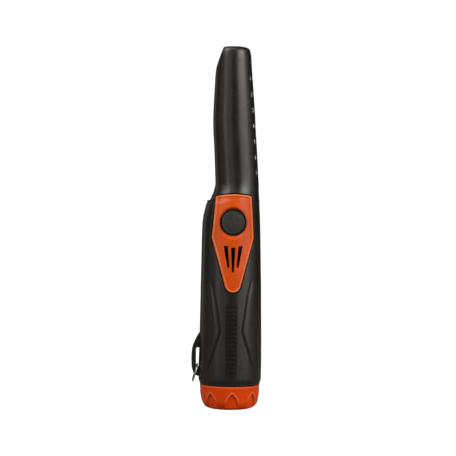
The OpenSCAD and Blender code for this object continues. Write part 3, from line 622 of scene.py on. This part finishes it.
def battery_cap():
    """Screw cap: round lower edge, and pointed-arch finger recesses with a raised lip."""
    er, side, rim, top = 6.3, 18.1, 18.9, 15.0      # radii of the lower edge, side and rim, and the height
    out = [(r, 0.0) for r in (0.0001, 4, 8, 9.6, 10.6)]
    out += [(side - er + er * math.cos(a), er + er * math.sin(a)) for a in np.radians(np.arange(-90, 1, 2))]
    out += [(side + (rim - side) * (z - er) / (14.2 - er), z) for z in np.arange(er + 0.2, 14.1, 0.2)]
    out += [(rim, 14.25), (rim - 0.02, 14.6), (rim - 0.12, 14.85), (rim - 0.3, 14.97), (rim - 0.5, top)]
    out += [(17.4, top), (17.22, 14.85)]
    inn = [(17.2, 9.0), (15.3, 9.0), (15.3, 4.2), (13.9, 2.8), (3.0, 2.8), (0.0001, 2.8)]
    n = 560
    verts, faces = revolve(out + inn, n)
    m = sum(1 if r < 1e-6 else n for r, _ in out)
    x, y, z = verts[:m].T
    r = np.hypot(x, y)
    angle = np.degrees(np.arctan2(y, x)) - FLUTE_AT + FLUTE_STEP / 2
    local = np.radians(angle % FLUTE_STEP - FLUTE_STEP / 2)
    sd = sd_polygon(np.column_stack([r * np.sin(local), z]), ARCH)
    plane = (17.85 - (10.6 - z) * math.tan(math.radians(12))) / np.cos(local)   # a flat that leans in
    depth = np.maximum(r - plane, 0) * (1 - smooth(-0.5, 0.0, sd))
    lip = np.exp(-((sd - 0.42) / 0.38) ** 2) * smooth(4.5, 8.5, z)
    nr = np.where(r > 11, r - depth + 0.2 * lip, r)
    verts[:m, :2] *= (nr / np.maximum(r, 1e-3))[:, None]
    wear_and_shade = np.zeros(len(verts))
    # Painted highlight along each arch's raised lip, fading downwards, and a pale band on the rim's top edge.
    wear_and_shade[:m] = 0.9 * lip + 0.35 * smooth(13.6, 14.4, z) * (r > 18)
    # Painted shade just inside each arch's edge.
    wear_and_shade[:m] -= 0.5 * np.exp(-((sd + 0.35) / 0.35) ** 2) * smooth(5, 9, z)
    return mesh_object("cap_shell", verts, faces, "battery_cap", ["battery_cap"], 40, wear_and_shade)


def catmull(points, steps):
    """Smooth open curve through points."""
    p = np.asarray(points, float)
    n = len(p)
    out = []
    for i in range(n - 1):
        a, b, c, d = p[max(i - 1, 0)], p[i], p[i + 1], p[min(i + 2, n - 1)]
        for k in range(steps):
            t = k / steps
            out.append(0.5 * (2 * b + (c - a) * t + (2 * a - 5 * b + 4 * c - d) * t * t
                              + (3 * b - a - 3 * c + d) * t ** 3))
    out.append(p[-1])
    return np.array(out)


LOOP_HALF = 1.78        # half the lanyard loop's thickness
ROUND = 0.6             # radius on its edges
# Its outer side, in X and Z
LOOP_SIDE = [(-18.9, 48.3), (-20.3, 46.3), (-21.6, 43.9), (-22.9, 41.0), (-23.9, 37.8), (-24.35, 34),
             (-24.35, 29), (-24.1, 25.4), (-23.2, 22.6), (-22.0, 21.0), (-20.8, 20.2), (-18.9, 19.7)]


def lanyard_loop():
    """Flat loop with rounded edges, standing out of the casing's left side."""
    outline = resample(np.vstack([catmull(LOOP_SIDE, 6), [(-18.2, 19.7), (-18.2, 48.3)]]), 0.3)
    mid = np.array([-20.3, 32.1])
    corners = [circle(x, z, 0.9, 32) for x in (-20.6, -18.9) for z in (27.1, 37.1)]
    slot = resample(convex_hull(np.vstack(corners)), 0.3)
    depths = ROUND * np.array([0.0, 0.08, 0.28, 0.6, 1.0])
    loops = [offset_loop(outline, -d, np.array([-20.2, 34.0]), 0.3) for d in depths]
    loops += [offset_loop(slot, d, mid, 0.3, 30) for d in depths]
    g = grid_points(np.arange(-24.5, -18, 0.4), np.arange(19.5, 48.6, 0.45))
    g = g[(sd_polygon(g, outline) < -0.85) & (sd_polygon(g, slot) > 0.85)]
    p, t = triangulate(loops, g)
    inside = np.clip(np.minimum(-sd_polygon(p, outline), sd_polygon(p, slot)), 0, ROUND)
    w = LOOP_HALF - ROUND + np.sqrt(np.maximum(ROUND ** 2 - (ROUND - inside) ** 2, 0))
    mid_t = p[t].mean(1)
    keep = (sd_polygon(mid_t, outline) < 1e-4) & (sd_polygon(mid_t, slot) > -1e-4)
    front = np.column_stack([p[:, 0], -w, p[:, 1]])
    back = np.column_stack([p[:, 0], w, p[:, 1]])
    t = orient(front, t[keep], np.tile([0.0, -1.0, 0.0], (len(p), 1)))
    verts, faces, _ = closed_from_sheets(front, back, t)
    return mesh_object("side_loop", verts, faces, "housing", ["lanyard_loop"], 40)


RING_X, RING_Z = -20.98, 26.2       # where the ring hangs in the loop
RING_TILT = math.radians(15)
RING_R, RING_DROP = 5.4, 4.0        # radius to the wire's middle, and how far the ring's centre hangs


def split_ring():
    """Key ring of one flat wire: two layers, joined by a step, so its ends lie beside the step."""
    half, thick, corner = 0.6, 0.235, 0.14      # the wire's section
    n = 220
    deg = np.linspace(0, 674, n)
    ang = np.radians(25 + deg)
    up = np.column_stack([np.zeros(n), np.sin(ang), np.cos(ang)])
    path = RING_R * up
    path[:, 0] = -0.25 + 0.5 * smooth(316, 359, deg)
    section = []
    for sx, sy, start in ((1, 1, 0), (-1, 1, 90), (-1, -1, 180), (1, -1, 270)):
        for a in np.radians(start + np.array([0, 30, 60, 90])):
            flat_side = (sx * (half - corner), sy * (thick - corner))
            section.append((flat_side[0] + corner * math.cos(a), flat_side[1] + corner * math.sin(a)))
    verts, faces = sweep(path, np.array(section), up)
    x, z = verts[:, 0].copy(), verts[:, 2] - RING_DROP
    c, s = math.cos(RING_TILT), math.sin(RING_TILT)
    verts[:, 0] = x * c + z * s + RING_X
    verts[:, 2] = -x * s + z * c + RING_Z
    return mesh_object("key_ring", verts, faces, "split_ring", ["split_ring"], 50)


# Ruler: white ticks and plain numerals down the right side of the nose
RULE_TOP, RULE_PITCH = 217.7, 9.93
RULE_END = math.radians(86.5)       # angle that the ticks end at
DIGIT_W, DIGIT_H = 1.5, 2.4
STROKES = {     # each numeral's strokes, in a box one wide and one high
    "1": [[(0.2, 0.75), (0.5, 1), (0.5, 0)]],
    "2": [[(0.05, 0.8), (0.2, 1), (0.75, 1), (0.95, 0.8), (0.9, 0.55), (0.05, 0), (0.95, 0)]],
    "3": [[(0.1, 1), (0.9, 1), (0.5, 0.58), (0.85, 0.5), (0.95, 0.22), (0.7, 0), (0.25, 0), (0.05, 0.15)]],
    "4": [[(0.7, 0), (0.7, 1), (0.05, 0.3), (0.98, 0.3)]],
    "5": [[(0.9, 1), (0.15, 1), (0.1, 0.55), (0.6, 0.6), (0.93, 0.4), (0.9, 0.12), (0.55, 0), (0.08, 0.08)]],
    "6": [[(0.8, 1), (0.3, 0.75), (0.06, 0.3), (0.3, 0), (0.7, 0), (0.94, 0.28), (0.7, 0.56), (0.3, 0.54),
           (0.1, 0.35)]],
    "7": [[(0.05, 1), (0.95, 1), (0.4, 0)]],
}


def ribbon(points, width, verts, faces):
    """A thin printed stroke that follows the casing. points are (arc mm, height mm)."""
    fine = []
    for a, b in zip(points[:-1], points[1:]):
        k = max(1, int(math.hypot(b[0] - a[0], b[1] - a[1]) / 0.35))
        fine += [(a[0] + (b[0] - a[0]) * i / k, a[1] + (b[1] - a[1]) * i / k) for i in range(k)]
    fine.append(points[-1])
    p = np.array(fine)
    tan = np.gradient(p, axis=0)
    tan /= np.linalg.norm(tan, axis=1)[:, None]
    nrm = np.column_stack([-tan[:, 1], tan[:, 0]])
    for side, lift in ((1, 0.05), (-1, 0.05), (-1, -0.05), (1, -0.05)):
        q = p + nrm * side * width / 2
        verts.append(xyz(q[:, 0] / HALF_WIDTH(q[:, 1]), q[:, 1], lift))
    n = len(p)
    base = sum(len(v) for v in verts[:-4])
    for i in range(n - 1):
        for k in range(4):
            a, b = base + k * n, base + ((k + 1) % 4) * n
            faces.append((a + i, a + i + 1, b + i + 1, b + i))
    faces.append(tuple(base + k * n for k in range(4)))
    faces.append(tuple(base + k * n + n - 1 for k in range(4))[::-1])


def ruler():
    """Centimetre scale: long ticks with numerals, and four short ticks between each two."""
    verts, faces = [], []
    last = len(STROKES)
    for i in range(last + 1):
        z = RULE_TOP - RULE_PITCH * i
        end = RULE_END * float(HALF_WIDTH(z))
        ribbon([(end - 4.0, z), (end, z)], 0.42, verts, faces)
        if i < last:
            for m in (1, 2, 3, 4):
                short = z - RULE_PITCH * m / 5
                ribbon([(end - 1.7, short), (end, short)], 0.22, verts, faces)
        if i:
            x0, z0 = end - 7.0, z - DIGIT_H / 2
            for stroke in STROKES[str(i)]:
                ribbon([(x0 + a * DIGIT_W, z0 + b * DIGIT_H) for a, b in stroke], 0.32, verts, faces)
    return mesh_object("printed_scale", np.vstack(verts), faces, "housing", ["length_scale"],
                       30)


# ---------------------------------------------------------------- materials

def new_material(name):
    """A material, its node tree and its shader node."""
    m = bpy.data.materials.new(name)
    m.use_nodes = True
    t = m.node_tree
    return m, t, t.nodes["Principled BSDF"]


def noise(t, scale, detail=4, rough=0.55, stretch=None):
    """Noise over object coordinates, which are metres."""
    co = t.nodes.new("ShaderNodeTexCoord")
    n = t.nodes.new("ShaderNodeTexNoise")
    n.inputs["Scale"].default_value = scale
    n.inputs["Detail"].default_value = detail
    n.inputs["Roughness"].default_value = rough
    if stretch:
        mp = t.nodes.new("ShaderNodeMapping")
        mp.inputs["Scale"].default_value = stretch
        t.links.new(co.outputs["Object"], mp.inputs["Vector"])
        t.links.new(mp.outputs["Vector"], n.inputs["Vector"])
    else:
        t.links.new(co.outputs["Object"], n.inputs["Vector"])
    return n.outputs["Fac"]


def ramp(t, fac, stops):
    """Colour that follows fac. stops are (position, colour), in order."""
    r = t.nodes.new("ShaderNodeValToRGB")
    e = r.color_ramp.elements
    e[0].position, e[0].color = stops[0][0], tuple(stops[0][1]) + (1,)
    e[1].position, e[1].color = stops[-1][0], tuple(stops[-1][1]) + (1,)
    for pos, col in stops[1:-1]:
        x = e.new(pos)
        x.color = tuple(col) + (1,)
    t.links.new(fac, r.inputs["Fac"])
    return r.outputs["Color"]


def to_range(t, fac, lo, hi, a=0.3, b=0.7):
    """fac taken from the range a to b to the range lo to hi, and held at both ends."""
    m = t.nodes.new("ShaderNodeMapRange")
    m.inputs["From Min"].default_value, m.inputs["From Max"].default_value = a, b
    m.inputs["To Min"].default_value, m.inputs["To Max"].default_value = lo, hi
    t.links.new(fac, m.inputs["Value"])
    return m.outputs["Result"]


def bump(t, bsdf, layers):
    """layers: (height socket, strength, distance in metres)"""
    last = None
    for h, strength, dist in layers:
        b = t.nodes.new("ShaderNodeBump")
        b.inputs["Strength"].default_value = strength
        b.inputs["Distance"].default_value = dist
        t.links.new(h, b.inputs["Height"])
        if last:
            t.links.new(last, b.inputs["Normal"])
        last = b.outputs["Normal"]
    t.links.new(last, bsdf.inputs["Normal"])


def mix(t, fac, a, b):
    """Colour a where fac is 0 and b where it is 1; either is a socket or a colour."""
    m = t.nodes.new("ShaderNodeMix")
    m.data_type = "RGBA"
    t.links.new(fac, m.inputs["Factor"])
    for socket, value in ((m.inputs[6], a), (m.inputs[7], b)):
        if isinstance(value, tuple):
            socket.default_value = value + (1,)
        else:
            t.links.new(value, socket)
    return m.outputs[2]


def plastic(name, base, worn, rough, grain=3200, grain_depth=0.00002, spec=0.5, rubbed_and_highlight=None, shade_tone=0.35):
    """Moulded plastic: fine spark-eroded grain, flow marks, edges worn pale, painted highlights, and painted
    shade that darkens the colour and dims the reflection.
    """
    m, t, b = new_material(name)
    colour = ramp(t, noise(t, 55, 5), [(0.32, tuple(c * 0.86 for c in base)), (0.52, base), (0.72, worn)])
    edge = t.nodes.new("ShaderNodeAttribute")
    edge.attribute_name = "wear_and_shade"
    # Towards 1 the colour goes to the pale tone: worn edges, and painted highlights on the panel's rim and
    # the cap's lips.
    colour = mix(t, to_range(t, edge.outputs["Fac"], 0, 1, 0, 1), colour, rubbed_and_highlight or worn)
    # Towards -1 it goes to a darkened base: painted shade in creases, gaps, grooves and recesses, and a
    # darker ribbed strip.
    colour = mix(t, to_range(t, edge.outputs["Fac"], 1, 0, -1, 0), colour, tuple(c * shade_tone for c in base))
    t.links.new(colour, b.inputs["Base Color"])
    t.links.new(to_range(t, noise(t, 210, 6, 0.62), rough - 0.05, rough + 0.05), b.inputs["Roughness"])
    # Painted shade also dims the reflection where the attribute is below 0.
    t.links.new(to_range(t, edge.outputs["Fac"], 0.15 * spec, spec, -1, 0), b.inputs["Specular IOR Level"])
    bump(t, b, [(noise(t, grain, 3, 0.6), 0.35, grain_depth), (noise(t, 160, 2), 0.25, 0.00006)])
    return m


def metal(name, base, rough, stretch=(1, 1, 8), scale=900):
    """Drawn or turned metal: streaks along the stretch in colour and in fine height."""
    m, t, b = new_material(name)
    b.inputs["Metallic"].default_value = 1.0
    f = noise(t, scale, 4, 0.6, stretch)
    lo, hi = tuple(c * 0.72 for c in base), tuple(min(1, c * 1.12) for c in base)
    t.links.new(ramp(t, f, [(0.3, lo), (0.5, base), (0.72, hi)]), b.inputs["Base Color"])
    t.links.new(to_range(t, noise(t, 400, 5), rough * 0.7, rough * 1.4), b.inputs["Roughness"])
    bump(t, b, [(f, 0.2, 0.00002)])
    return m


def rubber(name, base, rough=0.62):
    """Moulded rubber: mottled, with a coarse matt grain."""
    m, t, b = new_material(name)
    dark, pale = tuple(c * 0.75 for c in base), tuple(c * 1.35 for c in base)
    colour = ramp(t, noise(t, 260, 6, 0.65), [(0.3, dark), (0.55, base), (0.75, pale)])
    t.links.new(colour, b.inputs["Base Color"])
    t.links.new(to_range(t, noise(t, 500, 4), rough - 0.08, rough + 0.1), b.inputs["Roughness"])
    b.inputs["Specular IOR Level"].default_value = 0.4
    bump(t, b, [(noise(t, 2600, 3), 0.4, 0.00003)])
    return m


BLACK = plastic("casing_black", (0.0085, 0.0062, 0.0045), (0.012, 0.0092, 0.0070), 0.31, grain_depth=0.000008,
                rubbed_and_highlight=(0.024, 0.020, 0.017))
ORANGE = plastic("panel_orange", (0.61, 0.070, 0.0012), (0.65, 0.080, 0.0025), 0.29, grain=3600,
                 grain_depth=0.000008, spec=0.24, rubbed_and_highlight=(0.74, 0.19, 0.065), shade_tone=0.2)
# The cap's orange is a brighter copy of the panel's: painted light making up for the light the cap lacks.
CAP_ORANGE_BRIGHTENED = plastic("cap_orange_brightened", (0.72, 0.056, 0.0010), (0.76, 0.066, 0.0020), 0.31, grain=3600,
              grain_depth=0.000008, spec=0.15, rubbed_and_highlight=(0.80, 0.19, 0.055), shade_tone=0.3)
LOOP = plastic("loop_black", (0.006, 0.0058, 0.006), (0.012, 0.012, 0.012), 0.42)
BUTTON = rubber("button_rubber_look", (0.020, 0.020, 0.016), 0.5)
SEAL = rubber("seal_rubber_look", (0.012, 0.012, 0.013))
STEEL = metal("screw_steel_look", (0.42, 0.42, 0.43), 0.34)
RING = metal("ring_steel_look", (0.46, 0.46, 0.47), 0.28, (1, 1, 1), 500)
MESH = metal("mesh_steel_look", (0.005, 0.0045, 0.004), 0.7)
BOARD = plastic("board_green", (0.012, 0.11, 0.035), (0.02, 0.16, 0.06), 0.3, grain=1500)
CHIP = plastic("chip_black", (0.014, 0.014, 0.015), (0.03, 0.03, 0.03), 0.55)
INNER = plastic("inner_nylon", (0.42, 0.40, 0.34), (0.55, 0.53, 0.47), 0.5)
MOTOR = metal("motor_can_look", (0.55, 0.55, 0.56), 0.3)
WEIGHT = metal("weight_alloy_look", (0.42, 0.36, 0.24), 0.42)
FERRITE = rubber("ferrite_look", (0.035, 0.035, 0.037), 0.7)
COPPER = metal("copper_look", (0.72, 0.26, 0.09), 0.28, (1, 1, 40), 1200)
SHIELD = plastic("shield_look", (0.05, 0.05, 0.052), (0.08, 0.08, 0.085), 0.4)
RED = plastic("red_wire_look", (0.42, 0.008, 0.006), (0.5, 0.02, 0.015), 0.35)
CONTACT = metal("contact_look", (0.72, 0.62, 0.38), 0.25)
JACKET = metal("jacket_look", (0.16, 0.17, 0.2), 0.35)
CELL = metal("cell_look", (0.5, 0.5, 0.52), 0.4)
LED = plastic("led_look", (0.75, 0.68, 0.42), (0.85, 0.8, 0.6), 0.2)


def white_print():
    """Pad-printed white ink, worn thin in spots."""
    m, t, b = new_material("scale_print")
    thin, used, fresh = (0.30, 0.30, 0.29), (0.62, 0.62, 0.6), (0.75, 0.75, 0.73)
    colour = ramp(t, noise(t, 700, 6, 0.7), [(0.3, thin), (0.48, used), (0.7, fresh)])
    t.links.new(colour, b.inputs["Base Color"])
    t.links.new(to_range(t, noise(t, 900, 3), 0.42, 0.62), b.inputs["Roughness"])
    return m


def clear_lens():
    """Tinted clear plastic with slight mould waves."""
    m, t, b = new_material("lens_look")
    b.inputs["Base Color"].default_value = (0.16, 0.30, 0.34, 1)
    b.inputs["Transmission Weight"].default_value = 0.8
    b.inputs["IOR"].default_value = 1.49
    t.links.new(to_range(t, noise(t, 900, 4), 0.05, 0.16), b.inputs["Roughness"])
    bump(t, b, [(noise(t, 600, 3), 0.15, 0.00003)])
    return m


LENS = clear_lens()
PRINT = white_print()


def dress(ob, mat):
    """Gives a piece its one material."""
    ob.data.materials.clear()
    ob.data.materials.append(mat)


CARRIED_OVER = [
    (SEAL, "shell_seal button_seal motor_boot cap_oring pressure_pad"),
    (STEEL, "casing_screws board_screws lamp_leads motor_shaft pivot_screw"),
    (INNER, "seal_retainer switch_plunger coil_former core_mount_tip core_mount_rear pressure_plate"),
    (CHIP, "switch_body controller_chip board_parts sounder battery_lid"),
    (BOARD, "circuit_board contact_plate"), (BLACK, "lamp_bezel battery_tube"),
    (LOOP, "coil_lead battery_lead_black"), (CONTACT, "contact_snaps battery_studs"),
    (MESH, "sounder_mesh"), (LENS, "lamp_lens"), (LED, "lamp_led"), (MOTOR, "motor_can"),
    (WEIGHT, "eccentric_weight"), (FERRITE, "ferrite_core"), (COPPER, "search_coil"), (SHIELD, "coil_shield"),
    (RED, "battery_lead_red"), (JACKET, "battery_case"), (CELL, "battery_cells"),
]


def finish_cad_nodes():
    """Gives each CAD node that still shows its material."""
    for mat, names in CARRIED_OVER:
        for name in names.split():
            ob = NODES[name]
            if not ob.material_slots:
                ob.data.materials.append(mat)
            for slot in ob.material_slots:
                slot.material = mat


finish_cad_nodes()
dress(front_shell(), BLACK)
dress(rear_shell(), BLACK)
dress(panel(), ORANGE)
dress(button(), BUTTON)
dress(battery_cap(), CAP_ORANGE_BRIGHTENED)
dress(lanyard_loop(), LOOP)
dress(split_ring(), RING)
dress(ruler(), PRINT)


# ---------------------------------------------------------------- stage, lights, camera

DIM = 0.02      # how bright the paper and the world are as light sources


def seen_only(t, white, dim):
    """Strength that is white where the camera looks straight at it, and dim as a light source."""
    path = t.nodes.new("ShaderNodeLightPath")
    return to_range(t, path.outputs["Is Camera Ray"], dim, white, 0, 1)


def sweep_paper():
    """Paper that is white to the camera and dim to everything else."""
    m, t, b = new_material("sweep_paper")
    b.inputs["Base Color"].default_value = (0.22, 0.22, 0.22, 1)
    b.inputs["Roughness"].default_value = 0.9
    b.inputs["Specular IOR Level"].default_value = 0.1
    b.inputs["Emission Color"].default_value = (1, 1, 1, 1)
    t.links.new(seen_only(t, 1.0, DIM), b.inputs["Emission Strength"])
    return m


def stage():
    """Paper sweep: a floor that curves up into a wall behind the object."""
    front, bend, radius, top, side = -4.0, 1.2, 0.8, 3.2, 3.5
    pts = [(front, 0.0), (bend, 0.0)]
    for a in np.radians(np.arange(0, 91, 6)):
        pts.append((bend + radius * math.sin(a), radius - radius * math.cos(a)))
    pts.append((bend + radius, top))
    verts = [(x, y, z) for x in (-side, side) for y, z in pts]
    n = len(pts)
    faces = [(i, i + n, i + n + 1, i + 1) for i in range(n - 1)]
    me = bpy.data.meshes.new("studio_sweep")
    me.from_pydata(verts, [], faces)
    me.shade_smooth()
    ob = bpy.data.objects.new("studio_sweep", me)
    bpy.context.scene.collection.objects.link(ob)
    me.materials.append(sweep_paper())


VIEW = math.radians(-3.5)       # the camera's angle round the object, + to the right
LIGHT_TARGET = Vector((0, 0, 0.12))
WARM = (1.0, 0.965, 0.92)
# Name, angle round from the camera, angle up, distance, width, height, power
LIGHTS = [
    ("right_inner", 35, 14, 1.0, 0.35, 1.1, 2.25),
    ("key_right", 60, 14, 1.0, 0.5, 1.1, 4.1),
    ("right_outer", 88, 10, 1.0, 0.45, 1.1, 0.75),
    ("neck", 50, 28, 1.0, 0.7, 0.25, 3.1),
    ("left_inner", -22, 12, 1.1, 0.3, 1.1, 1.0),
    ("left", -48, 12, 1.1, 0.4, 1.1, 2.3),
    ("left_outer", -80, 10, 1.1, 0.4, 1.1, 0.45),
    ("edge_left", -130, 8, 1.0, 0.35, 1.4, 0.6),
    ("back", 176, 30, 1.1, 0.5, 0.9, 2.5),
    ("top", -12, 60, 1.1, 0.9, 0.7, 3.0),
    ("top_left", -62, 46, 1.1, 0.7, 0.6, 6.0),
]


def area_light(name, azimuth, elevation, dist, width, height, power):
    """Softbox that faces the object from an angle round from the camera, + to the right."""
    a, e = math.radians(azimuth) + VIEW, math.radians(elevation)
    away = Vector((math.sin(a) * math.cos(e), -math.cos(a) * math.cos(e), math.sin(e)))
    li = bpy.data.lights.new(name, "AREA")
    li.shape, li.size, li.size_y, li.energy, li.color = "RECTANGLE", width, height, power, WARM
    ob = bpy.data.objects.new(name, li)
    ob.location = LIGHT_TARGET + away * dist
    ob.rotation_mode = "QUATERNION"
    ob.rotation_quaternion = (-away).to_track_quat("-Z", "Y")
    bpy.context.scene.collection.objects.link(ob)


def lights():
    for light in LIGHTS:
        area_light(*light)
    w = bpy.data.worlds.new("studio")
    bpy.context.scene.world = w
    w.use_nodes = True
    back = w.node_tree.nodes["Background"]
    back.inputs["Color"].default_value = (1, 1, 1, 1)
    w.node_tree.links.new(seen_only(w.node_tree, 1.0, DIM), back.inputs["Strength"])


def camera():
    """Level camera in front of the object, turned a little about its own axis."""
    cam = bpy.data.cameras.new("camera")
    ob = bpy.data.objects.new("camera", cam)
    bpy.context.scene.collection.objects.link(ob)
    back = Vector((math.sin(VIEW), -math.cos(VIEW), 0))
    right = Vector((math.cos(VIEW), math.sin(VIEW), 0))
    ob.location = back * 0.838 - right * 0.00205 + Vector((0, 0, 0.1136))
    ob.rotation_mode = "QUATERNION"
    ob.rotation_quaternion = (-back).to_track_quat("-Z", "Y") @ Quaternion((0, 0, 1), math.radians(0.6))
    cam.sensor_width, cam.lens = 36, 104.45
    cam.clip_start, cam.clip_end = 0.02, 20
    bpy.context.scene.camera = ob


stage()
lights()
camera()
bpy.context.scene.view_settings.view_transform = "Standard"
